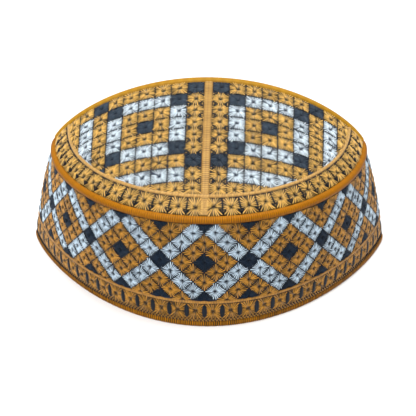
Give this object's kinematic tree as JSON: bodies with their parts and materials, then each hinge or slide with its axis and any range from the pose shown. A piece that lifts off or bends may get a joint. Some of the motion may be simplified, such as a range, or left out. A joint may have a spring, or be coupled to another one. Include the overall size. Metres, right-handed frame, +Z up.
{
  "type": "kufi",
  "caption": "Folding embroidered kufi with a round crown creased into a ridge, piping round the crown, a flared upright band and a bound lower edge.",
  "frame": {"origin": "centre of the outline at the lower edge, on the surface the hat stands on", "axes": "+Z up, +X to the wearer's side along the crease, -Y to the front"},
  "size_m": [0.2048, 0.1888, 0.097],
  "materials": {
    "crown_cloth": "dense satin embroidery in gold, pale blue and navy thread on navy cloth",
    "crease_tape_cloth": "mustard satin stitching over the folding crease",
    "piping_tape": "mustard rolled piping with a slight sheen",
    "band_cloth": "dense satin embroidery in gold, pale blue and navy thread on navy cloth",
    "binding_tape": "mustard thread overcast edge with fine upright ribs"
  },
  "bodies": {
    "root": {"crown": "crown_cloth", "crease_tape": "crease_tape_cloth", "crown_piping": "piping_tape", "side_band": "band_cloth", "edge_binding": "binding_tape"}
  },
  "joints": []
}
